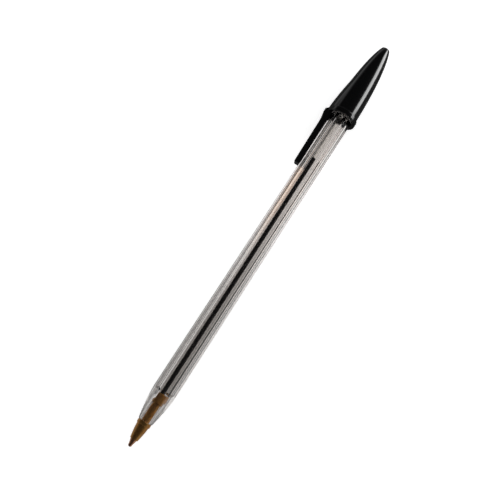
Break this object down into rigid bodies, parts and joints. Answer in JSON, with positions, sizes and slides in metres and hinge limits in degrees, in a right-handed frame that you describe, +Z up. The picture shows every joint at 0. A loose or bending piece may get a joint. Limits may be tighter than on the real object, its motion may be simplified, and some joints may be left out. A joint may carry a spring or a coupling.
{
  "type": "ballpoint pen",
  "caption": "Clear hexagonal stick ballpoint with a brass nose, an ink tube inside and a black clip cap posted on its rear end.",
  "frame": {"origin": "on the plane the pen lies on, under the middle of the whole box with the cap posted on the rear end", "axes": "+X along the pen from the writing point to the closed end of the cap, +Y to the side that carries the clip, +Z up out of the upper flat of the barrel"},
  "size_m": [0.17, 0.0124, 0.0114],
  "materials": {
    "clear_plastic": "clear polystyrene, glossy, faintly warm",
    "milky_plastic": "translucent polypropylene tube",
    "black_plastic": "glossy black polypropylene",
    "ink": "thick black ink",
    "brass": "turned brass, lightly toned",
    "nickel_silver": "turned reddish brass",
    "carbide": "ground tungsten carbide"
  },
  "bodies": {
    "barrel": {"barrel": "clear_plastic", "tip_holder": "brass", "point_socket": "nickel_silver", "ink_tube": "milky_plastic", "ink_column": "ink", "end_plug": "black_plastic"},
    "cap": {"cap": "black_plastic"},
    "clip": {"clip": "black_plastic"},
    "ball": {"writing_ball": "carbide"}
  },
  "joints": [
    {"name": "cap_slide", "type": "slide", "parent": "barrel", "child": "cap", "axis": [1, 0, 0], "range_m": [0, 0.04]},
    {"name": "clip_flex", "type": "hinge", "parent": "cap", "child": "clip", "pos_m": [0.0501, 0.00493, 0.0057], "axis": [0, 0, -1], "range_deg": [0, 5], "stiffness_Nm_per_rad": 0.055},
    {"name": "ball_spin", "type": "hinge", "parent": "barrel", "child": "ball", "pos_m": [-0.0845, -0.00053, 0.0057], "axis": [0, 1, 0], "continuous": true}
  ]
}
